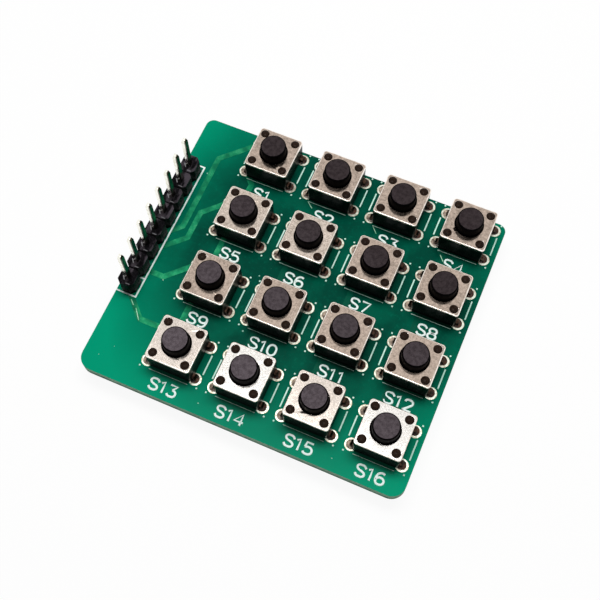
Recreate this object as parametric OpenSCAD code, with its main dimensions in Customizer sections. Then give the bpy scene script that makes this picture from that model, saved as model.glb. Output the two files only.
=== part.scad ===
// Matrix keypad: four rows of four push switches and a row of pins on one printed circuit board.
// The board lies flat with +Z up, the pin row on the -X side and the back row of switches at +Y.
// The origin is under the middle of the board, level with the tips of the switch leads.

/* [Board] */
// Length of the board along the switch rows
board_l = 43.3; // [43:0.1:50]
// Width of the board across the switch rows
board_w = 39.1; // [39:0.1:46]
// Thickness of the bare board
board_t = 1.6; // [1.2:0.1:2]
// Corner radius at the back edge
back_corner_r = 1.1; // [0.5:0.1:2]
// Corner radius at the front edge
front_corner_r = 1.8; // [0.5:0.1:2.5]

/* [Switch layout] */
// Distance between switch columns
column_pitch = 9.1; // [9:0.1:9.3]
// Distance between the first two rows of footprints, and between the last two
row_pitch = 9.73; // [9.3:0.01:9.8]
// Extra space between the second row and the third
middle_extra = 0.17; // [0:0.01:0.8]
// Right edge of the board to the centre of the last column
column_inset = 4.67; // [4.4:0.01:5.2]
// Back edge of the board to the centre of the first row
row_inset = 3.47; // [3.4:0.01:4]
// How far back the switches of the second and fourth rows sit in their holes
row_play = 0.12; // [0:0.01:0.12]

/* [Switch] */
// Side of the square moulded base
base_w = 5.9; // [5.7:0.1:6]
// Side of the square steel cover
cover_w = 6; // [5.9:0.1:6.2]
// Thickness of the steel cover
cover_t = 0.3; // [0.2:0.05:0.4]
// Corner radius of the cover
cover_corner_r = 0.45; // [0.2:0.05:0.6]
// Top of the cover above the board
cover_top = 3.5; // [3.3:0.1:4]
// Diameter of the hole in the cover
cover_hole_d = 3.8; // [3.7:0.1:4]
// Diameter of the plunger where it is pressed
plunger_d = 3.4; // [3:0.05:3.5]
// Top of the plunger above the cover
plunger_rise = 1.55; // [1:0.05:2]
// How far the plunger travels
travel = 0.25; // [0.2:0.01:0.27]
// Distance between the staked pegs that hold the cover
peg_pitch = 4.34; // [4.3:0.02:4.4]
// Diameter of a peg's domed head
peg_head_d = 1.16; // [1:0.02:1.2]
// Height of a peg's domed head above the cover
peg_head_h = 0.22; // [0.1:0.02:0.3]
// Diameter of a peg's stem inside the cover
peg_stem_d = 0.86; // [0.7:0.02:0.9]

/* [Switch leads] */
// Distance between the leads across the switch
lead_span = 6.5; // [6.5:0.05:6.6]
// Distance between the leads along each side
lead_pitch = 4.5; // [4.4:0.05:4.5]
// Width of a lead
lead_w = 0.7; // [0.5:0.05:0.75]
// Thickness of a lead
lead_t = 0.3; // [0.2:0.05:0.3]
// Length of a lead below the surface that the switch sits on
lead_len = 3.5; // [3.2:0.1:4]

/* [Pin header] */
// Number of pins
pin_count = 8; // [2:1:8]
// Distance between pins
pin_pitch = 2.54; // [2.5:0.01:2.54]
// Side of a square pin
pin_w = 0.64; // [0.5:0.01:0.66]
// Width of the moulded strip
strip_w = 2.2; // [2.1:0.05:2.4]
// Height of the moulded strip
strip_h = 2.54; // [2.3:0.02:2.8]
// Length of pin above the strip
pin_rise = 6; // [5:0.1:8]
// Length of pin below the strip
pin_tail = 3; // [2.9:0.1:3.2]
// Left edge of the board to the row of pins
pin_inset = 1.45; // [1.45:0.01:1.6]
// Back edge of the board to the first pin
pin_start = 8.9; // [8.5:0.1:9.5]

/* [Copper and print] */
// Diameter of a drilled and plated hole
hole_d = 1.1; // [1.05:0.01:1.15]
// Diameter of the ring round a hole
ring_d = 1.65; // [1.6:0.05:1.8]
// Width of the wide copper tracks
track_w = 0.75; // [0.3:0.05:0.8]
// Width of a printed line
ink_w = 0.2; // [0.15:0.01:0.25]

/* [Hidden] */
$fn = 48;
columns = 4;
rows = 4;
switch_count = columns * rows;

// Heights, with the surfaces of the board measured from the lead tips
board_z = lead_len - board_t;
top_z = board_z + board_t;
copper_t = 0.035;
ink_t = 0.03;
plating_t = 0.03;
seat_gap = 0.1;
foot_w = 0.8;
foot_l = 4.4;

// Inside of a switch, measured from the top of the board
floor_z = 1.25;
strip_z = 0.45;
base_corner_r = 0.25;
cover_under = cover_top - cover_t;
pocket_d = 4.9;
flange_d = 4.7;
flange_t = 0.55;
flange_gap = 0.02;
boss_d = 1.3;
plunger_edge_r = 0.22;
edge_steps = 3;
peg_clearance = 0.03;
dome_d = 4.4;
dome_h = 0.42;
dome_t = 0.08;
dome_steps = 5;
dome_gap = 0.02;
stud_d = 1;
stud_rise = 0.05;
rim_stud_d = 0.5;
tab_w = 0.9;

// Shape of a lead
bend_r = 0.2;
kink = 0.1;
kink_top = 0.25;
kink_h = 1;
tip_h = 0.5;
tip_in = 0.08;

// Shape of the pin strip
notch = 0.5;
groove = 0.28;
rail_w = 0.2;
pin_point = 0.5;
pin_point_w = 0.4;

// Solder on the underside
solder_h = 0.9;
solder_edge = 0.02;
solder_neck_d = 0.92;

// Where the wide tracks turn, measured from the row of pins
lane_in = 2.45;
lane_out = 3.75;
column_lane = 1.65;
clear_ring = 0.29;
outline_x = 3.9;
outline_y = 3.25;
header_line = 1.2;
header_line_w = 0.3;
header_end = 0.16;

pin_x = pin_inset - board_l / 2;

function column(i) = i % columns;
function row(i) = floor(i / columns);
function row_drop(r) = r * row_pitch + (r >= rows / 2 ? middle_extra : 0);
function switch_x(i) = board_l / 2 - column_inset - (columns - 1 - column(i)) * column_pitch;
function switch_y(i) = board_w / 2 - row_inset - row_drop(row(i));
function play(i) = row_play * (row(i) % 2);
function pin_y(k) = board_w / 2 - pin_start - k * pin_pitch;
function cap_radius(r, h) = (r * r + h * h) / (2 * h);
function hole_at(i, side, end) =
    [switch_x(i) + side * lead_span / 2, switch_y(i) + end * lead_pitch / 2];
function lead_at(i, side, end) = hole_at(i, side, end) + [0, play(i)];

// All leads and their holes, then all holes for header pins
leads = [for (i = [0 : switch_count - 1], side = [-1, 1], end = [-1, 1]) lead_at(i, side, end)];
lead_holes = [for (i = [0 : switch_count - 1], side = [-1, 1], end = [-1, 1]) hole_at(i, side, end)];
pin_holes = [for (k = [0 : pin_count - 1]) [pin_x, pin_y(k)]];
holes = concat(lead_holes, pin_holes);

// A square with rounded corners, centred on the origin
module rounded_square(side, r) {
    square([side - 2 * r, side], center = true);
    square([side, side - 2 * r], center = true);
    for (x = [-1, 1], y = [-1, 1])
        translate([x * (side / 2 - r), y * (side / 2 - r)])
            circle(r = r);
}

// A line of the given width through the points, with round turns
module stroke(points, width) {
    for (k = [0 : len(points) - 2]) {
        run = points[k + 1] - points[k];
        translate(points[k])
            rotate(atan2(run.y, run.x))
                translate([0, -width / 2])
                    square([norm(run), width]);
    }
    for (p = points)
        translate(p)
            circle(d = width);
}

module on_board() {
    translate([0, 0, top_z])
        children();
}

// Where a switch sits, which is a little off its footprint in some rows
module at_switch(i) {
    translate([switch_x(i), switch_y(i) + play(i), top_z])
        children();
}

// Outline of the board, with its own corner radius front and back
module board_outline() {
    half_l = board_l / 2;
    half_w = board_w / 2;
    translate([front_corner_r - half_l, -half_w])
        square([board_l - 2 * front_corner_r, front_corner_r]);
    translate([back_corner_r - half_l, half_w - back_corner_r])
        square([board_l - 2 * back_corner_r, back_corner_r]);
    translate([-half_l, front_corner_r - half_w])
        square([board_l, board_w - front_corner_r - back_corner_r]);
    for (side = [-1, 1]) {
        translate([side * (half_l - front_corner_r), front_corner_r - half_w])
            circle(r = front_corner_r);
        translate([side * (half_l - back_corner_r), half_w - back_corner_r])
            circle(r = back_corner_r);
    }
}

// The board, drilled for every lead and pin
module board() {
    color([0.02, 0.42, 0.31])
        translate([0, 0, board_z])
            linear_extrude(board_t)
                difference() {
                    board_outline();
                    for (p = holes)
                        translate(p)
                            circle(d = hole_d + 2 * plating_t);
                }
}

// Route from a header pin to the nearest lead of the first switch of a row
module row_track(r) {
    k = pin_count - rows + r;
    start = [pin_x, pin_y(k)];
    end = hole_at(r * columns, -1, 1);
    lane = r == 0 ? pin_x + lane_in : pin_x + lane_out;
    if (r < rows / 2)
        stroke([
            start,
            [lane, start.y + lane - start.x],
            [lane, end.y - (end.x - lane)],
            end
        ], track_w);
    else if (r == rows - 1)
        stroke([start, [start.x, start.y - track_w], [start.x + (start.y - track_w - end.y), end.y], end], track_w);
    else
        stroke([start, [end.x - (end.y - start.y), start.y], end], track_w);
}

// Route down a column, beside the middle of its switches
module column_track(c) {
    first = hole_at(c, -1, -1);
    last = hole_at((rows - 1) * columns + c, -1, -1);
    lane = switch_x(c) - column_lane;
    stroke([first, [lane, first.y - (lane - first.x)], [lane, last.y + (lane - last.x)], last], track_w);
}

module track_plan() {
    difference() {
        union() {
            for (r = [0 : rows - 1])
                row_track(r);
            for (c = [0 : columns - 1])
                column_track(c);
        }
        for (p = holes)
            translate(p)
                circle(d = ring_d);
    }
}

// Wide copper on the top of the board
module copper_tracks() {
    color([0.16, 0.58, 0.40])
        on_board()
            linear_extrude(copper_t)
                track_plan();
}

// One plated hole: a thin barrel with a ring on each face of the board
module plated_hole() {
    rotate_extrude()
        polygon([
            [hole_d / 2, -board_t - copper_t],
            [ring_d / 2, -board_t - copper_t],
            [ring_d / 2, -board_t],
            [hole_d / 2 + plating_t, -board_t],
            [hole_d / 2 + plating_t, 0],
            [ring_d / 2, 0],
            [ring_d / 2, copper_t],
            [hole_d / 2, copper_t]
        ]);
}

module plated_holes() {
    color([0.86, 0.86, 0.82])
        on_board()
            for (p = holes)
                translate(p)
                    plated_hole();
}

// Printed box round one switch, broken where the rings are
module switch_print(i) {
    translate([switch_x(i), switch_y(i)])
        difference() {
            square([2 * outline_x + ink_w, 2 * outline_y + ink_w], center = true);
            square([2 * outline_x - ink_w, 2 * outline_y - ink_w], center = true);
        }
}

// Printed box round the header, open at the board's edge, with a bar beside the end pin
module header_print() {
    back = pin_y(0) + pin_pitch / 2 + header_end;
    front = pin_y(pin_count - 1) - pin_pitch / 2 - header_end;
    bar = pin_y(pin_count - 1) + pin_pitch / 2;
    left = -board_l / 2;
    right = pin_x + header_line;
    translate([right - header_line_w / 2, front - ink_w / 2])
        square([header_line_w, back - front + ink_w]);
    for (y = [back, front, bar])
        translate([left, y - ink_w / 2])
            square([right - left, ink_w]);
}

module printed_outlines() {
    color([0.93, 0.96, 0.94])
        on_board()
            difference() {
                linear_extrude(copper_t + ink_t)
                    difference() {
                        union() {
                            for (i = [0 : switch_count - 1])
                                switch_print(i);
                            header_print();
                        }
                        for (p = holes)
                            translate(p)
                                circle(d = ring_d + 2 * clear_ring);
                    }
                linear_extrude(copper_t)
                    track_plan();
            }
}

// The moulded pin strip: a row of cut-cornered blocks joined at their necks
module strip_plan() {
    half = strip_w / 2;
    for (k = [0 : pin_count - 1])
        translate([pin_x, pin_y(k)])
            polygon([
                [half, notch - pin_pitch / 2],
                [half, pin_pitch / 2 - notch],
                [half - notch, pin_pitch / 2],
                [notch - half, pin_pitch / 2],
                [-half, pin_pitch / 2 - notch],
                [-half, notch - pin_pitch / 2],
                [notch - half, -pin_pitch / 2],
                [half - notch, -pin_pitch / 2]
            ]);
}

module header_strip() {
    span = pin_pitch * pin_count;
    color([0.07, 0.07, 0.08])
        difference() {
            on_board()
                linear_extrude(strip_h)
                    difference() {
                        strip_plan();
                        for (p = pin_holes)
                            translate(p)
                                square(pin_w, center = true);
                    }
            // relief over the rings and tracks, which leaves a rail along the outer edge
            translate([pin_x - strip_w / 2 + rail_w, pin_y(pin_count - 1) - pin_pitch, top_z - seat_gap])
                cube([strip_w, span + pin_pitch, 2 * seat_gap]);
            // grooves where the strip can be snapped
            for (k = [0 : pin_count - 2])
                translate([pin_x, pin_y(k) - pin_pitch / 2, top_z + strip_h])
                    rotate([45, 0, 0])
                        cube([strip_w + 1, groove, groove], center = true);
        }
}

// Side view of a pin with a tapered point at each end
module pin_profile() {
    half = pin_w / 2;
    tip = pin_point_w / 2;
    high = strip_h + pin_rise;
    low = -pin_tail;
    polygon([
        [-tip, low],
        [tip, low],
        [half, low + pin_point],
        [half, high - pin_point],
        [tip, high],
        [-tip, high],
        [-half, high - pin_point],
        [-half, low + pin_point]
    ]);
}

module header_pins() {
    color([0.80, 0.78, 0.70])
        on_board()
            for (p = pin_holes)
                translate(p)
                    intersection() {
                        rotate([90, 0, 0])
                            linear_extrude(pin_w, center = true)
                                pin_profile();
                        rotate([90, 0, 90])
                            linear_extrude(pin_w, center = true)
                                pin_profile();
                    }
}

// Side view of the right-hand half of a terminal, from the middle of the switch to the lead's tip
module lead_profile() {
    x = lead_span / 2;
    half = lead_t / 2;
    bend_x = x - half - bend_r;
    bend_z = strip_z - bend_r;
    translate([0, strip_z])
        square([bend_x, lead_t]);
    translate([bend_x, bend_z])
        intersection() {
            difference() {
                circle(r = bend_r + lead_t);
                circle(r = bend_r);
            }
            square(bend_r + lead_t);
        }
    translate([x, 0])
        polygon([
            [half, bend_z],
            [half, -kink_top],
            [half + kink, -kink_top - kink_h / 2],
            [half, -kink_top - kink_h],
            [half, tip_h - lead_len],
            [half - tip_in, -lead_len],
            [tip_in - half, -lead_len],
            [-half, tip_h - lead_len],
            [-half, -kink_top - kink_h],
            [kink - half, -kink_top - kink_h / 2],
            [-half, -kink_top],
            [-half, bend_z]
        ]);
}

// One bent brass strip with a lead at each end, on the given side of the switch
module terminal_strip(end) {
    translate([0, end * lead_pitch / 2, 0])
        for (side = [0, 1])
            mirror([side, 0, 0])
                rotate([90, 0, 0])
                    linear_extrude(lead_w, center = true)
                        lead_profile();
}

// The terminal under the middle of the dome
module centre_terminal() {
    terminal_strip(1);
    translate([-tab_w / 2, -tab_w / 2, strip_z])
        cube([tab_w, lead_pitch / 2 + tab_w / 2, lead_t]);
    translate([0, 0, strip_z + lead_t / 2])
        cylinder(d = stud_d, h = floor_z + stud_rise - strip_z - lead_t / 2);
}

// The terminal under the rim of the dome
module rim_terminal() {
    terminal_strip(-1);
    translate([0, -(dome_d - dome_t) / 2, strip_z + lead_t / 2])
        cylinder(d = rim_stud_d, h = floor_z - strip_z - lead_t / 2);
}

module terminals() {
    color([0.55, 0.42, 0.30])
        for (i = [0 : switch_count - 1])
            at_switch(i) {
                centre_terminal();
                rim_terminal();
            }
}

// A shallow spring dome of thin steel, turned from its own arc
module contact_dome() {
    r = cap_radius(dome_d / 2, dome_h);
    inner_r = r - dome_t;
    outer_end = asin(dome_d / 2 / r);
    inner_end = acos((r - dome_h) / inner_r);
    outer_arc = [for (k = [0 : dome_steps]) let (a = k / dome_steps * outer_end)
        [r * sin(a), r * cos(a) + dome_h - r]];
    inner_arc = [for (k = [dome_steps : -1 : 0]) let (a = k / dome_steps * inner_end)
        [inner_r * sin(a), inner_r * cos(a) + dome_h - r]];
    translate([0, 0, floor_z])
        rotate_extrude()
            polygon(concat(outer_arc, inner_arc));
}

module contact_domes() {
    color([0.80, 0.80, 0.82])
        for (i = [0 : switch_count - 1])
            at_switch(i)
                contact_dome();
}

// A staked peg: its stem through the cover and its domed head on top
module peg() {
    r = cap_radius(peg_head_d / 2, peg_head_h);
    translate([0, 0, floor_z])
        cylinder(d = peg_stem_d, h = cover_top - floor_z);
    intersection() {
        translate([0, 0, cover_top + peg_head_h - r])
            sphere(r = r);
        translate([0, 0, cover_top])
            cylinder(d = peg_head_d, h = peg_head_h);
    }
}

module at_pegs() {
    for (x = [-1, 1], y = [-1, 1])
        translate([x * peg_pitch / 2, y * peg_pitch / 2, 0])
            children();
}

// The moulded base, formed round both terminals
module switch_base(i) {
    color([0.05, 0.05, 0.06])
        at_switch(i)
            difference() {
                union() {
                    translate([0, 0, seat_gap])
                        linear_extrude(cover_under - seat_gap)
                            rounded_square(base_w, base_corner_r);
                    translate([-foot_w / 2, -foot_l / 2, 0])
                        cube([foot_w, foot_l, 2 * seat_gap]);
                    at_pegs()
                        peg();
                }
                translate([0, 0, floor_z])
                    cylinder(d = pocket_d, h = cover_top);
                centre_terminal();
                rim_terminal();
            }
}

// The stamped steel cover
module switch_cover(i) {
    color([0.82, 0.77, 0.72])
        at_switch(i)
            translate([0, 0, cover_under])
                linear_extrude(cover_t)
                    difference() {
                        rounded_square(cover_w, cover_corner_r);
                        circle(d = cover_hole_d);
                        at_pegs()
                            circle(d = peg_stem_d + 2 * peg_clearance);
                    }
}

// The plunger, with a flange under the cover and a boss over the dome
module plunger(i) {
    top = cover_top + plunger_rise;
    flange_top = cover_under - flange_gap;
    edge = plunger_edge_r;
    round_edge = [for (k = [0 : edge_steps]) let (a = 90 * k / edge_steps)
        [plunger_d / 2 - edge + edge * cos(a), top - edge + edge * sin(a)]];
    color([0.30, 0.28, 0.30])
        at_switch(i)
            rotate_extrude()
                polygon(concat([
                    [0, floor_z + dome_h + dome_gap],
                    [boss_d / 2, floor_z + dome_h + dome_gap],
                    [boss_d / 2, flange_top - flange_t],
                    [flange_d / 2, flange_top - flange_t],
                    [flange_d / 2, flange_top],
                    [plunger_d / 2, flange_top]
                ], round_edge, [[0, top]]));
}

// A fillet of solder round a lead or pin, under the board
module solder_fillet() {
    base_z = -board_t - copper_t;
    base_r = ring_d / 2 - row_play - solder_edge;
    rotate_extrude()
        polygon([
            [0, base_z],
            [base_r, base_z],
            [(base_r + solder_neck_d / 2) / 2, base_z - solder_h / 4],
            [solder_neck_d / 2, base_z - solder_h],
            [0, base_z - solder_h]
        ]);
}

module switch_solder() {
    color([0.75, 0.76, 0.78])
        on_board()
            for (p = leads)
                translate(p)
                    difference() {
                        solder_fillet();
                        translate([0, 0, -lead_len])
                            linear_extrude(lead_len)
                                square([lead_t, lead_w], center = true);
                    }
}

module header_solder() {
    color([0.75, 0.76, 0.78])
        on_board()
            for (p = pin_holes)
                translate(p)
                    difference() {
                        solder_fillet();
                        translate([0, 0, -lead_len])
                            linear_extrude(lead_len)
                                square(pin_w, center = true);
                    }
}

board();
copper_tracks();
plated_holes();
printed_outlines();
header_strip();
header_pins();
terminals();
contact_domes();
switch_solder();
header_solder();
for (i = [0 : switch_count - 1]) {
    switch_base(i);
    switch_cover(i);
    plunger(i);
}
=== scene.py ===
# matrix keypad: finishes, lettering, small solder details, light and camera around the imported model
import math
import bmesh
import bpy
from mathutils import Euler, Matrix, Vector


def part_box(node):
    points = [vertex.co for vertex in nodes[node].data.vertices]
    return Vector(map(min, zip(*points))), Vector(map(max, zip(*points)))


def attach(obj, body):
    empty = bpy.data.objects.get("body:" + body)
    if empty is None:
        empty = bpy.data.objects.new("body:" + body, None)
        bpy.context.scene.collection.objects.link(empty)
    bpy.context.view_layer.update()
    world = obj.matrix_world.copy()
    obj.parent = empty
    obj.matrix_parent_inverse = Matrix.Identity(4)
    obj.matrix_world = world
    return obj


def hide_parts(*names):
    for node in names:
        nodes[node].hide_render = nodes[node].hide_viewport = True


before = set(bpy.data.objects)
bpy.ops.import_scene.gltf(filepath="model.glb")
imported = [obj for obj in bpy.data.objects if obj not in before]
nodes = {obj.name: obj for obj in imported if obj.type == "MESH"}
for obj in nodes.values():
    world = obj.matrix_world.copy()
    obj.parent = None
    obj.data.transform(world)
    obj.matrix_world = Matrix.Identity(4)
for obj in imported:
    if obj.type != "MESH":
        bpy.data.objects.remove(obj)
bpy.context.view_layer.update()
mm = 0.001
root = "root"
switchNumbers = range(1, 17)
switchesInRow = 4
boardLow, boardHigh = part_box("board")
boardTop = boardHigh.z
print("frame loaded:", len(nodes), "nodes")


# colours are written as they look on a screen, from 0 to 255
def tone(red, green, blue):
    def straight(value):
        value /= 255.0
        return value / 12.92 if value <= 0.04045 else ((value + 0.055) / 1.055) ** 2.4
    return (straight(red), straight(green), straight(blue), 1.0)


class Sock:
    # a shader socket that can be used in Python sums
    def __init__(self, maker, socket):
        self.maker = maker
        self.socket = socket

    def work(self, operation, first, second):
        return self.maker.put("ShaderNodeMath", {"operation": operation}, {0: first, 1: second})

    def __add__(self, other): return self.work("ADD", self, other)
    def __radd__(self, other): return self.work("ADD", other, self)
    def __sub__(self, other): return self.work("SUBTRACT", self, other)
    def __rsub__(self, other): return self.work("SUBTRACT", other, self)
    def __mul__(self, other): return self.work("MULTIPLY", self, other)
    def __rmul__(self, other): return self.work("MULTIPLY", other, self)
    def __pow__(self, other): return self.work("POWER", self, other)
    def __rpow__(self, other): return self.work("POWER", other, self)
    def __abs__(self): return self.work("ABSOLUTE", self, 0.0)
    def above(self, limit): return self.work("GREATER_THAN", self, limit)
    def below(self, limit): return self.work("LESS_THAN", self, limit)
    def atLeast(self, limit): return self.work("MAXIMUM", self, limit)
    def atMost(self, limit): return self.work("MINIMUM", self, limit)
    def repeated(self, length): return self.work("FLOORED_MODULO", self, length)

    def ramp(self, low, high, toLow=0.0, toHigh=1.0, smooth=True):
        kind = "SMOOTHSTEP" if smooth else "LINEAR"
        return self.maker.put("ShaderNodeMapRange", {"interpolation_type": kind, "clamp": True},
                              {0: self, 1: low, 2: high, 3: toLow, 4: toHigh})


class NodeMaker:
    # makes the nodes of one material or world, and links them
    def __init__(self, owner):
        owner.use_nodes = True
        self.tree = owner.node_tree
        self.tree.nodes.clear()

    def put(self, kind, settings=None, values=None, output=0):
        node = self.tree.nodes.new(kind)
        for key, value in (settings or {}).items():
            setattr(node, key, value)
        for key, value in (values or {}).items():
            if isinstance(value, Sock):
                self.tree.links.new(value.socket, node.inputs[key])
            else:
                node.inputs[key].default_value = value
        return Sock(self, node.outputs[output]) if len(node.outputs) else node

    def seenPaths(self):
        # 1 for what the camera sees, mirrored or through glass too
        camera, glossy, through = [self.put("ShaderNodeLightPath", output=k) for k in (0, 3, 6)]
        return camera.atLeast(glossy).atLeast(through)


class Finish(NodeMaker):
    # one material, and the few textures it is made of
    def __init__(self, name):
        self.material = bpy.data.materials.new(name)
        super().__init__(self.material)

    def place(self):
        # object coordinates in millimetres, as a vector and as x, y, z
        point = self.put("ShaderNodeTexCoord", output=3)
        scaled = self.put("ShaderNodeVectorMath", {"operation": "SCALE"}, {0: point, "Scale": 1 / mm})
        parts = [self.put("ShaderNodeSeparateXYZ", values={0: scaled}, output=k) for k in range(3)]
        return scaled, parts

    def noise(self, vector, scale, detail=3.0, roughness=0.5):
        values = {"Vector": vector, "Scale": scale, "Detail": detail, "Roughness": roughness}
        return self.put("ShaderNodeTexNoise", None, values)

    def wave(self, vector, direction, scale):
        values = {"Vector": vector, "Scale": scale}
        return self.put("ShaderNodeTexWave", {"bands_direction": direction}, values)

    def blend(self, factor, first, second):
        return self.put("ShaderNodeMix", {"data_type": "RGBA"}, {0: factor, 6: first, 7: second}, output=2)

    def bump(self, height, strength, distance):
        values = {"Strength": strength, "Distance": distance * mm, "Height": height}
        return self.put("ShaderNodeBump", None, values)

    def done(self, **sockets):
        names = {"colour": "Base Color", "metal": "Metallic", "rough": "Roughness", "normal": "Normal",
                 "gloss": "Specular IOR Level"}
        values = {names[key]: value for key, value in sockets.items()}
        shader = self.put("ShaderNodeBsdfPrincipled", None, values)
        self.put("ShaderNodeOutputMaterial", None, {"Surface": shader})
        return self.material


# the span that most of a noise lies in
noiseSpan = (0.3, 0.7)

# green lacquer over the board with a bare glass-fibre edge, in millimetres; it is paler towards the open
# margins, partly the real paler laminate where no copper lies under it and partly painted light, with painted
# shade darkest in the middle of the switch block and painted light along the left edge
lacquer = {
    "deep": tone(0, 69, 54),
    "bright": tone(0, 154, 117),
    "middle": (2.0, 5.0),                     # the darkest spot
    "stretch": 1.15,                          # how much faster it pales along y
    "reach": (17.5, 33.0),                    # where it starts to pale, and where it is palest
    "leftEdge": (-21.5, -17.0, 0.16, 0.0),    # from and to in x, and how much paler at each
    "patchScale": 0.22,
    "patches": (0.4, 0.7, 0.0, 0.14),
    "fleckScale": 1.7,
    "flecks": (0.5, 0.75, 0.0, 0.1),
    "dust": tone(170, 226, 206),
    "dustScale": 0.42,
    "dustSize": (0.035, 0.06, 0.8, 0.0),
    "dustPatchScale": 0.9,
    "dustPatches": (0.5, 0.56),
    "edge": tone(150, 186, 160),
    "edgeDark": tone(58, 98, 78),
    "edgeFrom": 0.02,                         # below the top and above the underside
    "edgePale": (0.2, -0.5, 0.85, 0.0),       # above the underside and below the top, and how dark at each
    "layerScale": 1.4,
    "layers": (0.4, 0.7, 0.0, 0.3),
    "gloss": 0.03,
    "rough": (0.16, 0.28),
    "edgeRougher": 0.35,
    "weave": 2.2,
    "weaveShare": 0.6,
    "weaveStrength": 0.25,
    "weaveDepth": 0.008,
}


def fromMiddle(x, y):
    middleX, middleY = lacquer["middle"]
    acrossX = x - middleX
    acrossY = (y - middleY) * lacquer["stretch"]
    return (acrossX * acrossX + acrossY * acrossY) ** 0.5


def boardFinish():
    f = Finish("boardLacquer")
    point, (x, y, z) = f.place()
    underside, top = boardLow.z / mm, boardTop / mm
    # painted shade round the switch block and painted light towards the open margins and the left edge, partly
    # the real paler laminate
    pale = fromMiddle(x, y).ramp(*lacquer["reach"], smooth=False) + x.ramp(*lacquer["leftEdge"])
    green = f.blend(pale.atMost(1.0), lacquer["deep"], lacquer["bright"])
    fleck = f.noise(point, lacquer["fleckScale"], 4.0, 0.65)
    cloudy = f.noise(point, lacquer["patchScale"]).ramp(*lacquer["patches"]) + fleck.ramp(*lacquer["flecks"])
    green = f.blend(cloudy, green, lacquer["bright"])
    cell = f.put("ShaderNodeTexVoronoi", {"feature": "F1"}, {"Vector": point, "Scale": lacquer["dustScale"]})
    dusty = f.noise(point, lacquer["dustPatchScale"], 1.0).ramp(*lacquer["dustPatches"])
    green = f.blend(cell.ramp(*lacquer["dustSize"]) * dusty, green, lacquer["dust"])
    side = z.below(top - lacquer["edgeFrom"]) * z.above(underside + lacquer["edgeFrom"])
    aboveUnderside, belowTop, dark, light = lacquer["edgePale"]
    deepness = z.ramp(underside + aboveUnderside, top + belowTop, dark, light)
    deepness = deepness + f.noise(point, lacquer["layerScale"], 4.0, 0.6).ramp(*lacquer["layers"])
    laminate = f.blend(deepness.atMost(1.0), lacquer["edge"], lacquer["edgeDark"])
    weave = f.wave(point, "X", lacquer["weave"]) * f.wave(point, "Y", lacquer["weave"])
    height = weave * lacquer["weaveShare"] + fleck * lacquer["weaveShare"]
    return f.done(colour=f.blend(side, green, laminate),
                  rough=fleck.ramp(*noiseSpan, *lacquer["rough"]) + side * lacquer["edgeRougher"],
                  normal=f.bump(height, lacquer["weaveStrength"], lacquer["weaveDepth"]),
                  gloss=lacquer["gloss"])


# the same lacquer where it lies over copper: from and to in x or y, and how pale at each; the darkening under
# the switch block and beside the header strip is painted shade, and the tracks are also less pale towards the
# back
overCopper = {
    "deep": tone(2, 82, 62),
    "bright": tone(36, 163, 110),
    "pale": tone(108, 204, 154),
    "shadeUnderSwitches": (-13.0, -8.0, 1.0, 0.0),
    "shadowBesideHeader": (-18.6, -17.7, 0.35, 1.0),
    "towardsBack": (-6.0, 8.0, 1.0, 0.66),
    "patchScale": 0.9,
    "patches": (0.34, 0.62, 0.4, 1.0),
    "palest": (0.5, 0.75, 0.0, 0.4),
    "fineScale": 5.0,
    "fine": (0.35, 0.65),
    "gloss": 0.06,
    "rough": (0.16, 0.3),
    "bump": 0.2,
    "dent": 0.01,
}


def trackFinish():
    f = Finish("trackLacquer")
    point, (x, y, _) = f.place()
    # painted shade: the tracks are darker under the switch block and beside the header strip
    pale = x.ramp(*overCopper["shadeUnderSwitches"]) * x.ramp(*overCopper["shadowBesideHeader"])
    pale = pale * y.ramp(*overCopper["towardsBack"])
    patch = f.noise(point, overCopper["patchScale"], 4.0)
    fine = f.noise(point, overCopper["fineScale"], 3.0, 0.6)
    palest = pale * patch.ramp(*overCopper["palest"]) * fine.ramp(*overCopper["fine"])
    green = f.blend(pale * patch.ramp(*overCopper["patches"]), overCopper["deep"], overCopper["bright"])
    return f.done(colour=f.blend(palest, green, overCopper["pale"]),
                  rough=fine.ramp(*noiseSpan, *overCopper["rough"]),
                  normal=f.bump(fine, overCopper["bump"], overCopper["dent"]),
                  gloss=overCopper["gloss"])


# metals with soft stains and a fine grain; the pins are painted darker on the side that faces the switches, a
# painted reflection of the dark switches and board
metals = {
    "tinnedRing": {"colour": tone(232, 236, 220), "stain": tone(186, 178, 156), "rough": (0.25, 0.43),
                   "scale": 3.0, "dent": 0.02},
    "solder": {"colour": tone(226, 226, 226), "stain": tone(170, 168, 164), "rough": (0.16, 0.34),
               "scale": 2.0, "dent": 0.04},
    "leadBrass": {"colour": tone(74, 56, 46), "stain": tone(34, 25, 20), "rough": (0.18, 0.36),
                  "scale": 2.5, "dent": 0.02},
    "headerPin": {"colour": tone(250, 249, 240), "stain": tone(232, 230, 214), "rough": (0.08, 0.26),
                  "scale": 1.2, "dent": 0.002,
                  "shadedSide": {"colour": tone(118, 116, 98), "stain": tone(66, 66, 54), "from": 0.13}},
    # painted highlight on the rolled edges of the covers
    "rimHighlight": {"colour": tone(255, 246, 238), "stain": tone(226, 214, 202), "rough": (0.14, 0.32),
                 "scale": 1.6, "dent": 0.003},
    "domeSteel": {"colour": tone(214, 214, 218), "stain": tone(180, 180, 184), "rough": (0.12, 0.3),
                  "scale": 1.0, "dent": 0.002},
}
metalGrain = {"stains": (0.42, 0.66), "finer": 6, "patchShare": 0.7, "fineShare": 0.3, "bump": 0.5}


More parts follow.
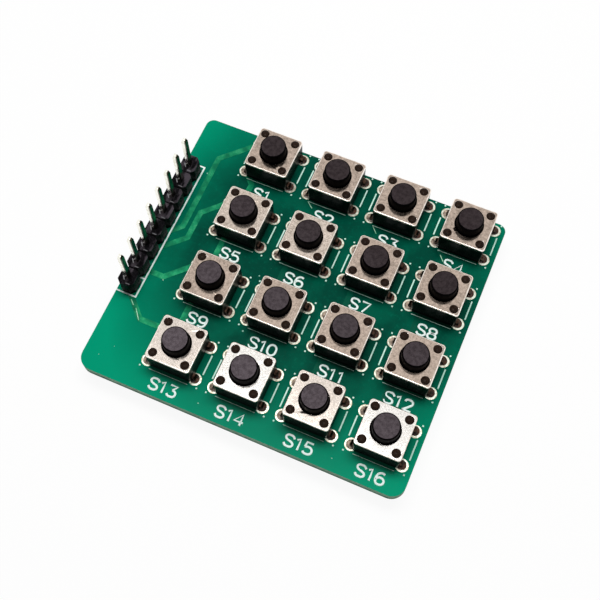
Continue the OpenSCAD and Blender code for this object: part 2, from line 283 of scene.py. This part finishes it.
def metalFinish(name):
    look = metals[name]
    f = Finish(name)
    point, (x, _, _) = f.place()
    patch = f.noise(point, look["scale"])
    fine = f.noise(point, look["scale"] * metalGrain["finer"], 4.0)
    stained = patch.ramp(*metalGrain["stains"])
    colour = f.blend(stained, look["colour"], look["stain"])
    # painted reflection: the side of the pins that faces the switches is painted darker
    if "shadedSide" in look:
        low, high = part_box("header_pins")
        side = x.above((low.x + high.x) / 2 / mm + look["shadedSide"]["from"])
        colour = f.blend(side, colour, f.blend(stained, look["shadedSide"]["colour"], look["shadedSide"]["stain"]))
    height = patch * metalGrain["patchShare"] + fine * metalGrain["fineShare"]
    return f.done(colour=colour, metal=1.0, rough=fine.ramp(*noiseSpan, *look["rough"]),
                  normal=f.bump(height, metalGrain["bump"], look["dent"]))


# satin plated steel of the covers, light and dark tone; the paler tones given to a few covers are painted
# reflection of the lamp
coverTones = {
    "warm": (tone(208, 188, 173), tone(142, 128, 116)),
    "mid": (tone(230, 214, 201), tone(162, 150, 137)),
    "pale": (tone(244, 232, 222), tone(178, 168, 158)),
    "bright": (tone(252, 248, 243), tone(194, 190, 184)),
}
# painted reflection: the front row and two covers of the second row get paler tones for the lamp they mirror
coverPaintedGlare = {5: "mid", 6: "mid", 13: "pale", 14: "bright", 15: "pale", 16: "bright"}
coverSteel = {
    "mottleScale": 2.4, "mottle": (0.36, 0.66, 0.0, 0.45),
    "grainScale": 6.5, "grain": (0.36, 0.64, 0.0, 0.4),
    "driftScale": 0.35, "drift": (0.35, 0.7, 0.0, 0.15),
    "mottleShare": 0.5, "grainShare": 0.5,
    "rough": (0.09, 0.22), "bump": 0.5, "dent": 0.004,
}


def coverFinish(look):
    f = Finish("coverSteel_" + look)
    point, _ = f.place()
    mottle = f.noise(point, coverSteel["mottleScale"], 4.0, 0.6)
    grain = f.noise(point, coverSteel["grainScale"], 2.0, 0.6)
    drift = f.noise(point, coverSteel["driftScale"], 2.0)
    shade = mottle.ramp(*coverSteel["mottle"]) + grain.ramp(*coverSteel["grain"])
    shade = shade + drift.ramp(*coverSteel["drift"])
    height = mottle * coverSteel["mottleShare"] + grain * coverSteel["grainShare"]
    return f.done(colour=f.blend(shade, *coverTones[look]), metal=1.0,
                  rough=mottle.ramp(*noiseSpan, *coverSteel["rough"]),
                  normal=f.bump(height, coverSteel["bump"], coverSteel["dent"]))


# flux, ink, and the mint colour of the painted track glints; the darker flux of the right-hand holes is a
# painted-shade copy of the flux on the left
coatings = {
    "fluxedHole": {"colour": tone(196, 176, 156), "worn": tone(58, 42, 33), "gloss": 0.4,
                   "rough": (0.25, 0.38), "scale": 2.4, "dent": 0.08},
    # painted shade: the darker copy of the flux, used in the right-hand holes
    "shadedFlux": {"colour": tone(96, 62, 46), "worn": tone(16, 9, 7), "gloss": 0.22,
                  "rough": (0.2, 0.33), "scale": 2.4, "dent": 0.08},
    # painted highlights along the edges of some tracks
    "mintGlint": {"colour": tone(196, 238, 212), "worn": tone(120, 204, 160), "gloss": 0.3,
                  "rough": (0.25, 0.38), "scale": 3.0, "dent": 0.01},
    "whiteInk": {"colour": tone(246, 255, 254), "worn": tone(232, 254, 247), "gloss": 0.5,
                 "rough": (0.45, 0.58), "scale": 1.4, "dent": 0.01},
    "thinInk": {"colour": tone(220, 252, 240), "worn": tone(190, 240, 222), "gloss": 0.2,
                "rough": (0.45, 0.58), "scale": 1.4, "dent": 0.01},
}
coatingGrain = {"wear": (0.35, 0.68), "finer": 7, "patchShare": 0.4, "fineShare": 0.6, "bump": 0.45}


def coatingFinish(name):
    look = coatings[name]
    f = Finish(name)
    point, _ = f.place()
    patch = f.noise(point, look["scale"], 4.0, 0.6)
    fine = f.noise(point, look["scale"] * coatingGrain["finer"])
    height = patch * coatingGrain["patchShare"] + fine * coatingGrain["fineShare"]
    return f.done(colour=f.blend(patch.ramp(*coatingGrain["wear"]), look["colour"], look["worn"]),
                  rough=fine.ramp(*noiseSpan, *look["rough"]),
                  normal=f.bump(height, coatingGrain["bump"], look["dent"]),
                  gloss=look["gloss"])


# header strip: black walls under dark tops with a painted purple-grey sheen in patches; the tops are painted
# lighter than the walls as painted light
stripLook = {
    "wall": tone(3, 3, 4),
    "dark": tone(8, 7, 10),
    "paintedSheen": tone(78, 72, 79),
    "topDepth": 0.12,
    "patchScale": 1.1,
    "patchTurn": 0.6,
    "stretch": (1.0, 0.35, 1.0),
    "patches": (0.46, 0.62, 0.0, 0.8),
    "fineScale": 7.0,
    "fine": (0.5, 0.75, 0.0, 0.2),
    "fineShare": 0.4,
    "gloss": 0.03,
    "rough": (0.22, 0.4),
    "bump": 0.5,
    "dent": 0.05,
}

# a painted reflection of each pin as a bright streak beside its foot, and a fainter painted highlight along
# the front edge of its block; places are millimetres from the pin, and each size says where the streak starts
# to fade and where it ends
stripGlint = {
    "tone": tone(150, 150, 154),
    "pitch": 2.54,
    "start": (-0.62, -0.1),
    "slope": -0.7,
    "length": (0.21, 0.3),
    "width": (0.05, 0.1),
    "edgeMiddle": (0.4, -1.0),
    "edgeLength": (0.21, 0.35),
    "edgeWidth": (0.04, 0.09),
    "edgeShare": 0.5,
}


def pinGlint(x, y):
    low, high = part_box("header_strip")
    fromPinX = x - (low.x + high.x) / 2 / mm
    fromPinY = (y - low.y / mm).repeated(stripGlint["pitch"]) - stripGlint["pitch"] / 2
    startX, startY = stripGlint["start"]
    along = fromPinY - startY
    across = abs(fromPinX - startX - along * stripGlint["slope"])
    streak = abs(along + stripGlint["length"][1]).ramp(*stripGlint["length"], 1.0, 0.0)
    streak = streak * across.ramp(*stripGlint["width"], 1.0, 0.0)
    edgeX, edgeY = stripGlint["edgeMiddle"]
    edge = abs(fromPinX - edgeX).ramp(*stripGlint["edgeLength"], 1.0, 0.0)
    edge = edge * abs(fromPinY - edgeY).ramp(*stripGlint["edgeWidth"], stripGlint["edgeShare"], 0.0)
    return streak.atLeast(edge)


def stripFinish():
    f = Finish("stripPlastic")
    point, (x, y, z) = f.place()
    turned = {"Vector": point, "Rotation": (0, 0, stripLook["patchTurn"]), "Scale": stripLook["stretch"]}
    patch = f.noise(f.put("ShaderNodeMapping", None, turned), stripLook["patchScale"], 3.0, 0.55)
    fine = f.noise(point, stripLook["fineScale"])
    paintedSheen = patch.ramp(*stripLook["patches"]) + fine.ramp(*stripLook["fine"])
    face = f.blend(pinGlint(x, y), f.blend(paintedSheen, stripLook["dark"], stripLook["paintedSheen"]), stripGlint["tone"])
    # painted light: the tops are lighter than the black walls
    top = z.above(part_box("header_strip")[1].z / mm - stripLook["topDepth"])
    return f.done(colour=f.blend(top, stripLook["wall"], face),
                  rough=fine.ramp(*noiseSpan, *stripLook["rough"]),
                  normal=f.bump(patch + fine * stripLook["fineShare"], stripLook["bump"], stripLook["dent"]),
                  gloss=stripLook["gloss"])


# black base walls with browner heads on the pegs that stand through the cover
baseLook = {
    "wall": tone(5, 8, 8),
    "wallWorn": tone(14, 17, 16),
    "wallScale": 1.2,
    "wallPatches": (0.4, 0.7),
    "peg": tone(46, 32, 24),
    "pegDark": tone(20, 13, 9),
    "pegFrom": 3.42,             # above the board
    "pegPatches": (0.35, 0.68),
    "fineScale": 8.0,
    "gloss": 0.06,
    "rough": (0.23, 0.4),
    "bump": 0.4,
    "dent": 0.012,
}


def baseFinish():
    f = Finish("basePlastic")
    point, (_, _, z) = f.place()
    patch = f.noise(point, baseLook["wallScale"], 4.0, 0.6)
    fine = f.noise(point, baseLook["fineScale"])
    wall = f.blend(patch.ramp(*baseLook["wallPatches"]), baseLook["wall"], baseLook["wallWorn"])
    head = f.blend(fine.ramp(*baseLook["pegPatches"]), baseLook["peg"], baseLook["pegDark"])
    return f.done(colour=f.blend(z.above(boardTop / mm + baseLook["pegFrom"]), wall, head),
                  rough=fine.ramp(*noiseSpan, *baseLook["rough"]),
                  normal=f.bump(fine, baseLook["bump"], baseLook["dent"]),
                  gloss=baseLook["gloss"])


# plungers: smooth black sides under a matt grey top; the top is painted paler than the sides, partly as
# painted light from above, and paler still on the switches nearer the front left corner as painted light
plungerLook = {
    "side": tone(4, 3, 4),
    "top": (tone(66, 58, 60), tone(110, 101, 107)),
    "topWorn": (tone(36, 30, 32), tone(66, 59, 63)),
    "topDepth": 0.012,
    "lean": 0.25,                # how much it pales along x
    "reach": (-9.0, 16.0),
    "patchScale": 2.2,
    "patches": (0.35, 0.68, 0.0, 0.5),
    "fineScale": 11.0,
    "fine": (0.35, 0.65, 0.0, 0.5),
    "gloss": 0.015,
    "rough": 0.4,
    "rougher": 0.04,
    "sideBump": 0.2,
    "bump": 0.4,
    "dent": 0.02,
}


def plungerFinish():
    f = Finish("plungerPlastic")
    point, (x, y, z) = f.place()
    top = z.above(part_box("plunger_s1")[1].z / mm - plungerLook["topDepth"])
    patch = f.noise(point, plungerLook["patchScale"], 4.0, 0.6)
    fine = f.noise(point, plungerLook["fineScale"], 3.0, 0.6)
    # painted light: the tops grow paler towards the front left of the keypad
    near = (0.0 - y - x * plungerLook["lean"]).ramp(*plungerLook["reach"], smooth=False)
    fresh, worn = [f.blend(near, *plungerLook[key]) for key in ("top", "topWorn")]
    grey = f.blend(patch.ramp(*plungerLook["patches"]) + fine.ramp(*plungerLook["fine"]), fresh, worn)
    height = fine * (top * (1 - plungerLook["sideBump"]) + plungerLook["sideBump"])
    return f.done(colour=f.blend(top, plungerLook["side"], grey),
                  rough=fine * plungerLook["rougher"] + plungerLook["rough"],
                  normal=f.bump(height, plungerLook["bump"], plungerLook["dent"]),
                  gloss=plungerLook["gloss"])


finishes = {"board": boardFinish(), "track": trackFinish(), "basePlastic": baseFinish(),
            "plungerPlastic": plungerFinish(), "stripPlastic": stripFinish()}
finishes.update({name: metalFinish(name) for name in metals})
finishes.update({name: coatingFinish(name) for name in coatings})
finishes.update({"cover_" + look: coverFinish(look) for look in coverTones})
print("finishes made:", len(finishes))


def paintNode(node, finish):
    piece = nodes[node]
    for slot in piece.material_slots:
        slot.material = finishes[finish]
    if not piece.material_slots:
        piece.data.materials.append(finishes[finish])


def newPiece(name, bm, finish, body):
    mesh = bpy.data.meshes.new(name)
    bm.to_mesh(mesh)
    bm.free()
    piece = bpy.data.objects.new(name, mesh)
    bpy.context.scene.collection.objects.link(piece)
    mesh.shade_smooth()
    mesh.materials.append(finishes[finish])
    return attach(piece, body)


# widths of the broken edges in millimetres
edges = {"board": 0.08, "cover": 0.04, "plunger": 0.05, "strip": 0.09, "pin": 0.04, "track": 0.014,
         "base": 0.014}

# points this near become one, in millimetres; angles in degrees that count as flat and as sharp; and how much
# the larger faces count in the shading
edgeRules = {"merged": 0.002, "flat": 0.8, "sharp": 30, "largeFaces": 60}


# a copy of a node with its sharp edges broken, as stamping and moulding leave them; prepare may shape the
# copy first and give some faces the second finish, rim
def softened(node, name, finish, body, width, segments=2, prepare=None, rim=None):
    bm = bmesh.new()
    bm.from_mesh(nodes[node].data)
    bmesh.ops.remove_doubles(bm, verts=bm.verts, dist=edgeRules["merged"] * mm)
    bmesh.ops.dissolve_limit(bm, angle_limit=math.radians(edgeRules["flat"]), verts=bm.verts, edges=bm.edges)
    if prepare:
        prepare(bm, node)
    piece = newPiece(name, bm, finish, body)
    if rim:
        piece.data.materials.append(finishes[rim])
    broken = piece.modifiers.new("brokenEdges", "BEVEL")
    broken.width = width * mm
    broken.segments = segments
    broken.limit_method = "ANGLE"
    broken.angle_limit = math.radians(edgeRules["sharp"])
    shading = piece.modifiers.new("evenShading", "WEIGHTED_NORMAL")
    shading.mode = "FACE_AREA"
    shading.weight = edgeRules["largeFaces"]
    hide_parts(node)
    return piece


# the outer edge of a cover is rolled over where it was bent, and the roll gets a paler finish as a painted
# highlight; only that edge of the top lies beyond the pegs and the hole
coverEdge = {"roll": 0.13, "segments": 4, "beyond": 2.5, "near": 0.03, "bent": 60}


def rollOuterEdge(bm, node):
    low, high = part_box(node)
    middle = (low + high) / 2

    def outside(vert):
        away = max(abs(vert.co.x - middle.x), abs(vert.co.y - middle.y))
        return abs(vert.co.z - high.z) < coverEdge["near"] * mm and away > coverEdge["beyond"] * mm

    ring = [edge for edge in bm.edges if all(outside(vert) for vert in edge.verts)
            and edge.calc_face_angle(0) > math.radians(coverEdge["bent"])]
    made = bmesh.ops.bevel(bm, geom=ring, offset=coverEdge["roll"] * mm, offset_type="OFFSET", affect="EDGES",
                           segments=coverEdge["segments"], profile=0.5, material=-1)
    for face in made["faces"]:
        face.material_index = 1


paintNode("plated_holes", "tinnedRing")
paintNode("terminals", "leadBrass")
paintNode("contact_domes", "domeSteel")
paintNode("switch_solder", "solder")
paintNode("header_solder", "solder")
softened("board", "drilledBoard", "board", root, edges["board"])
softened("copper_tracks", "coveredTracks", "track", root, edges["track"])
softened("header_strip", "headerStrip", "stripPlastic", root, edges["strip"])
softened("header_pins", "headerPins", "headerPin", root, edges["pin"])
for i in switchNumbers:
    softened("cover_s%d" % i, "switchCover%d" % i, "cover_" + coverPaintedGlare.get(i, "warm"), root,
             edges["cover"], prepare=rollOuterEdge, rim="rimHighlight")
    softened("base_s%d" % i, "switchBase%d" % i, "basePlastic", root, edges["base"])
    softened("plunger_s%d" % i, "pressPlunger%d" % i, "plungerPlastic", "plunger_s%d" % i,
             edges["plunger"], 3)
print("edges broken")


# single-stroke letters on a grid of millimetres, lower left corner at 0, 0; each has its width and strokes
letters = {
    "height": 1.44, "drawnHeight": 1.66, "stroke": 0.275, "thick": 0.13, "drop": 4.76,
    "gaps": (0.32, 0.64), "shift": 0.06, "moved": {16: 0.15}, "sharp": 50, "roundSteps": 3, "merged": 0.001,
}
glyphs = {
    "S": (1.12, [("round", [(1.12, 1.30), (0.86, 1.60), (0.50, 1.66), (0.14, 1.56), (0.02, 1.25), (0.20, 0.97),
                            (0.58, 0.83), (0.96, 0.67), (1.10, 0.38), (0.92, 0.08), (0.54, 0.0), (0.18, 0.08),
                            (0.0, 0.34)])]),
    "0": (1.05, [("ring", [(0.525, 1.66), (0.09, 1.36), (0.0, 0.83), (0.09, 0.30), (0.525, 0.0), (0.96, 0.30),
                           (1.05, 0.83), (0.96, 1.36)])]),
    "1": (0.42, [("straight", [(0.0, 1.36), (0.40, 1.66), (0.40, 0.0)])]),
    "2": (1.08, [("round", [(0.02, 1.28), (0.16, 1.56), (0.54, 1.66), (0.92, 1.52), (1.03, 1.18), (0.80, 0.80),
                            (0.02, 0.0)]), ("straight", [(0.02, 0.0), (1.08, 0.0)])]),
    "3": (1.06, [("straight", [(0.06, 1.66), (1.0, 1.66), (0.52, 1.0)]),
                 ("round", [(0.52, 1.0), (0.90, 0.84), (1.05, 0.48), (0.90, 0.10), (0.50, 0.0), (0.14, 0.07),
                            (0.0, 0.26)])]),
    "4": (1.16, [("straight", [(0.86, 0.0), (0.86, 1.66), (0.0, 0.50), (1.16, 0.50)])]),
    "5": (1.06, [("straight", [(0.98, 1.66), (0.16, 1.66), (0.06, 0.92)]),
                 ("round", [(0.06, 0.92), (0.48, 1.05), (0.90, 0.90), (1.05, 0.54), (0.90, 0.14), (0.50, 0.0),
                            (0.12, 0.08), (0.0, 0.26)])]),
    "6": (1.04, [("round", [(0.92, 1.56), (0.60, 1.66), (0.20, 1.46), (0.02, 0.98), (0.02, 0.50), (0.18, 0.10),
                            (0.54, 0.0), (0.90, 0.14), (1.04, 0.50), (0.90, 0.86), (0.54, 0.98), (0.18, 0.84),
                            (0.03, 0.56)])]),
    "7": (1.06, [("straight", [(0.0, 1.66), (1.06, 1.66), (0.36, 0.0)])]),
    "8": (1.04, [("ring", [(0.52, 0.88), (0.16, 1.00), (0.06, 1.28), (0.20, 1.57), (0.52, 1.66), (0.84, 1.57),
                           (0.98, 1.28), (0.88, 1.00)]),
                 ("ring", [(0.52, 0.88), (0.12, 0.74), (0.0, 0.43), (0.14, 0.10), (0.52, 0.0), (0.90, 0.10),
                           (1.04, 0.43), (0.92, 0.74)])]),
    "9": (1.04, [("round", [(1.01, 1.10), (0.86, 0.82), (0.50, 0.68), (0.14, 0.82), (0.0, 1.16), (0.14, 1.52),
                            (0.50, 1.66), (0.86, 1.56), (1.02, 1.16), (1.02, 0.68), (0.84, 0.20), (0.44, 0.0),
                            (0.12, 0.10)])]),
}


def strokeCurve(curve, kind, points, shift):
    spline = curve.splines.new("BEZIER")
    spline.bezier_points.add(len(points) - 1)
    spline.resolution_u = 1 if kind == "straight" else letters["roundSteps"]
    spline.use_cyclic_u = kind == "ring"
    handle = "VECTOR" if kind == "straight" else "AUTO"
    for bezier, (x, y) in zip(spline.bezier_points, points):
        bezier.co = Vector((x + shift, y * letters["height"] / letters["drawnHeight"], 0.0)) * mm
        bezier.handle_left_type = handle
        bezier.handle_right_type = handle


def designator(number, centre):
    word = "S%d" % number
    widths = [glyphs[c][0] for c in word]
    total = sum(widths) + sum(letters["gaps"][:len(word) - 1])
    curve = bpy.data.curves.new("designatorStroke", "CURVE")
    curve.dimensions = "3D"
    curve.bevel_depth = letters["stroke"] / 2 * mm
    curve.bevel_resolution = 1
    curve.use_fill_caps = True
    shift = letters["shift"] + letters["moved"].get(number, 0.0) - total / 2
    for c, width, gap in zip(word, widths, letters["gaps"] + (0,)):
        for kind, points in glyphs[c][1]:
            strokeCurve(curve, kind, points, shift)
        shift += width + gap
    drawn = bpy.data.objects.new("designatorDraft", curve)
    bpy.context.scene.collection.objects.link(drawn)
    mesh = bpy.data.meshes.new_from_object(drawn.evaluated_get(bpy.context.evaluated_depsgraph_get()))
    bpy.data.objects.remove(drawn)
    bm = bmesh.new()
    bm.from_mesh(mesh)
    flat = letters["thick"] / letters["stroke"]
    low = centre.y - (letters["drop"] + letters["height"] / 2) * mm
    bmesh.ops.scale(bm, vec=(1, 1, flat), verts=bm.verts)
    bmesh.ops.translate(bm, vec=(centre.x, low, boardTop), verts=bm.verts)
    bmesh.ops.remove_doubles(bm, verts=bm.verts, dist=letters["merged"] * mm)
    bmesh.ops.recalc_face_normals(bm, faces=bm.faces)
    piece = newPiece("designator%d" % number, bm, "whiteInk", root)
    piece.data.set_sharp_from_angle(angle=math.radians(letters["sharp"]))


# footprints on the board: in every second row the switches sit a little behind them
rowPlay = 0.12
switchCentres = []
for i in switchNumbers:
    low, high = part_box("cover_s%d" % i)
    behind = (i - 1) // switchesInRow % 2 * rowPlay * mm
    switchCentres.append((low + high) / 2 - Vector((0, behind, 0)))
for number, centre in zip(switchNumbers, switchCentres):
    designator(number, centre)
print("letters drawn")


# printed box round each switch: four lines that stop short of the rings, and a dot left at each corner
printLook = {
    "reachX": 3.9, "reachY": 3.25,
    "width": 0.18, "acrossWidth": 0.08,
    "sideEnd": 1.36, "acrossEnd": 2.66,
    "dot": 0.2, "thick": 0.07, "sunk": 0.005,
}

# the model's own print is kept for the header; its long line is a little narrower and further in
headerPrint = {"end": -16.0, "line": 0.31, "narrowed": 0.72, "shifted": 0.07, "merged": 0.002}


def printBar(bm, centre, sizeX, sizeY):
    made = bmesh.ops.create_cube(bm, size=1.0)
    bmesh.ops.scale(bm, vec=(sizeX * mm, sizeY * mm, printLook["thick"] * mm), verts=made["verts"])
    middle = boardTop + (printLook["thick"] / 2 - printLook["sunk"]) * mm
    bmesh.ops.translate(bm, vec=(*centre, middle), verts=made["verts"])
    for vert in made["verts"]:
        for face in vert.link_faces:
            face.material_index = 1  # the thin ink


def makePrint():
    bm = bmesh.new()
    bm.from_mesh(nodes["printed_outlines"].data)
    bmesh.ops.remove_doubles(bm, verts=bm.verts, dist=headerPrint["merged"] * mm)
    past = [vert for vert in bm.verts if vert.co.x > headerPrint["end"] * mm]
    bmesh.ops.delete(bm, geom=past, context="VERTS")
    outer = max(vert.co.x for vert in bm.verts)
    for vert in bm.verts:
        if vert.co.x > outer - headerPrint["line"] * mm:
            vert.co.x = outer + headerPrint["shifted"] * mm + (vert.co.x - outer) * headerPrint["narrowed"]
    reachX, reachY = printLook["reachX"] * mm, printLook["reachY"] * mm
    dot = printLook["dot"]
    for x, y, _ in switchCentres:
        for side in (-1, 1):
            printBar(bm, (x, y + side * reachY), 2 * printLook["acrossEnd"], printLook["acrossWidth"])
            printBar(bm, (x + side * reachX, y), printLook["width"], 2 * printLook["sideEnd"])
            for end in (-1, 1):
                printBar(bm, (x + side * reachX, y + end * reachY), dot, dot)
    piece = newPiece("switchPrint", bm, "whiteInk", root)
    piece.data.materials.append(finishes["thinInk"])
    piece.data.shade_flat()
    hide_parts("printed_outlines")


makePrint()
print("outlines printed")


# painted highlights: pale lines along the edges of some tracks, with the start and end of each, and flattened
# pale specks on the board, with the place and radius of each
glintsAndSpecks = {
    "lines": [(-3.98, 12.82, -3.11, 12.06), (5.30, 12.78, 6.11, 11.91), (-18.14, -9.90, -17.07, -11.26),
              (-19.24, -9.06, -18.62, -9.65), (14.9, 12.3, 15.58, 11.52)],
    "width": 0.09,
    "thick": 0.02,
    "lift": 0.035,
    "specks": [(-16.71, -5.04, 0.09), (12.25, -18.0, 0.07), (-18.3, -15.6, 0.05), (-19.6, -17.3, 0.06),
               (-5.4, -18.15, 0.09)],
    "flattened": (1.0, 0.8, 0.4),
}


def layGlintsAndSpecks():
    bm = bmesh.new()
    for startX, startY, endX, endY in glintsAndSpecks["lines"]:
        along = Vector((endX - startX, endY - startY, 0.0)) * mm
        made = bmesh.ops.create_cube(bm, size=1.0)
        size = (along.length, glintsAndSpecks["width"] * mm, glintsAndSpecks["thick"] * mm)
        turn = Matrix.Rotation(math.atan2(along.y, along.x), 3, "Z")
        place = Vector(((startX + endX) / 2, (startY + endY) / 2, glintsAndSpecks["lift"])) * mm
        bmesh.ops.scale(bm, vec=size, verts=made["verts"])
        bmesh.ops.rotate(bm, cent=(0, 0, 0), matrix=turn, verts=made["verts"])
        bmesh.ops.translate(bm, vec=place + Vector((0, 0, boardTop)), verts=made["verts"])
    for x, y, radius in glintsAndSpecks["specks"]:
        made = bmesh.ops.create_uvsphere(bm, u_segments=10, v_segments=6, radius=radius * mm)
        bmesh.ops.scale(bm, vec=glintsAndSpecks["flattened"], verts=made["verts"])
        bmesh.ops.translate(bm, vec=(x * mm, y * mm, boardTop), verts=made["verts"])
    piece = newPiece("trackGlints", bm, "mintGlint", root)
    piece.data.shade_flat()


layGlintsAndSpecks()
print("thin lines and specks laid")


# solder and flux in the top of each switch hole, a low mound round the lead; the mounds on the right are a
# painted-shade copy, darker for the shade of the switch base
holeFill = {
    "acrossLeads": 6.5, "alongLeads": 4.5,
    "radius": 0.63, "neck": 0.22,
    "rim": 0.035, "centre": 0.16,
    "sides": 20,
    # the darker right-hand mounds are moved left and back to cover where the painted shade of the base falls
    "moved": {-1: (0.0, 0.0), 1: (-0.1, 0.06)},
}


def fillHoles(name, side, finish):
    bm = bmesh.new()
    movedX, movedY = holeFill["moved"][side]
    middle = (holeFill["rim"] + holeFill["centre"]) / 2
    for centre in switchCentres:
        for end in (-1, 1):
            made = bmesh.ops.create_cone(bm, cap_ends=False, segments=holeFill["sides"],
                                         radius1=holeFill["radius"] * mm, radius2=holeFill["neck"] * mm,
                                         depth=(holeFill["centre"] - holeFill["rim"]) * mm)
            toHole = Vector((side * holeFill["acrossLeads"] / 2 + movedX,
                             end * holeFill["alongLeads"] / 2 + movedY, middle)) * mm
            spot = Vector((centre.x, centre.y, boardTop)) + toHole
            bmesh.ops.translate(bm, vec=spot, verts=made["verts"])
    for face in bm.faces:
        if face.normal.z < 0:
            face.normal_flip()
    return newPiece(name, bm, finish, root)


fillHoles("holeFluxLeft", -1, "fluxedHole")
fillHoles("holeFluxRight", 1, "shadedFlux")
print("holes filled")


# floor, light and camera; the floor is 4 m wide, and the world is white to the eye and in reflections, and dim
# as a lamp
stageLook = {"floorSize": 4.0, "floorTone": tone(250, 250, 250), "floorGlow": 0.93, "seen": 1.0, "lit": 0.07}
white = (1, 1, 1, 1)


def makeFloor():
    bm = bmesh.new()
    bmesh.ops.create_grid(bm, x_segments=1, y_segments=1, size=stageLook["floorSize"] / 2)
    mesh = bpy.data.meshes.new("floor")
    bm.to_mesh(mesh)
    bm.free()
    floor = bpy.data.objects.new("floor", mesh)
    bpy.context.scene.collection.objects.link(floor)
    f = Finish("paleFloor")
    card = f.put("ShaderNodeBsdfDiffuse", None, {"Color": stageLook["floorTone"]})
    glow = f.put("ShaderNodeEmission", None, {"Color": white, "Strength": stageLook["seen"]})
    both = f.put("ShaderNodeMixShader", None, {0: f.seenPaths() * stageLook["floorGlow"], 1: card, 2: glow})
    f.put("ShaderNodeOutputMaterial", None, {"Surface": both})
    mesh.materials.append(f.material)


def makeWorld():
    world = bpy.data.worlds.new("studio")
    bpy.context.scene.world = world
    w = NodeMaker(world)
    lit = w.put("ShaderNodeBackground", None, {"Color": white, "Strength": stageLook["lit"]})
    shown = w.put("ShaderNodeBackground", None, {"Color": white, "Strength": stageLook["seen"]})
    both = w.put("ShaderNodeMixShader", None, {0: w.seenPaths(), 1: lit, 2: shown})
    w.put("ShaderNodeOutputWorld", None, {"Surface": both})


# soft boxes: place, aim and size in millimetres, watts, and whether polished faces and dull faces show them
softBoxes = {
    "key": {"place": (-18, 64, 260), "aim": (0, 0, 0), "size": (200, 90), "power": 0.71,
            "mirrored": False, "lights": True},
    "overhead": {"place": (-24, -1, 260), "aim": (-24, -1, 0), "size": (94, 68), "power": 0.15,
                 "mirrored": True, "lights": False},
}
lampTint = (1.0, 0.99, 0.98)


def makeLights():
    for name, box in softBoxes.items():
        light = bpy.data.lights.new(name, "AREA")
        light.shape = "RECTANGLE"
        light.size, light.size_y = [side * mm for side in box["size"]]
        light.energy = box["power"]
        light.color = lampTint
        lamp = bpy.data.objects.new(name, light)
        bpy.context.scene.collection.objects.link(lamp)
        place = Vector(box["place"]) * mm
        aim = Vector(box["aim"]) * mm
        lamp.location = place
        lamp.rotation_euler = (aim - place).to_track_quat("-Z", "Y").to_euler()
        lamp.visible_glossy = box["mirrored"]
        lamp.visible_diffuse = box["lights"]


# the camera stands above the front right corner and looks down: millimetres and degrees, clipping in metres
cameraLook = {
    "place": (20.24, -44.33, 117.87),
    "turn": (22.67, 0.75, 23.42),
    "lens": 58.26,
    "sensor": 36.0,
    "shift": (0.0115, 0.0009),
    "clip": (0.005, 20.0),
}


def makeCamera():
    data = bpy.data.cameras.new("camera")
    data.lens = cameraLook["lens"]
    data.sensor_width = cameraLook["sensor"]
    data.shift_x, data.shift_y = cameraLook["shift"]
    data.clip_start, data.clip_end = cameraLook["clip"]
    camera = bpy.data.objects.new("camera", data)
    bpy.context.scene.collection.objects.link(camera)
    camera.location = Vector(cameraLook["place"]) * mm
    camera.rotation_euler = Euler([math.radians(v) for v in cameraLook["turn"]], "XYZ")
    bpy.context.scene.camera = camera


makeFloor()
makeWorld()
makeLights()
makeCamera()
bpy.context.scene.view_settings.view_transform = "Standard"
print("stage set")
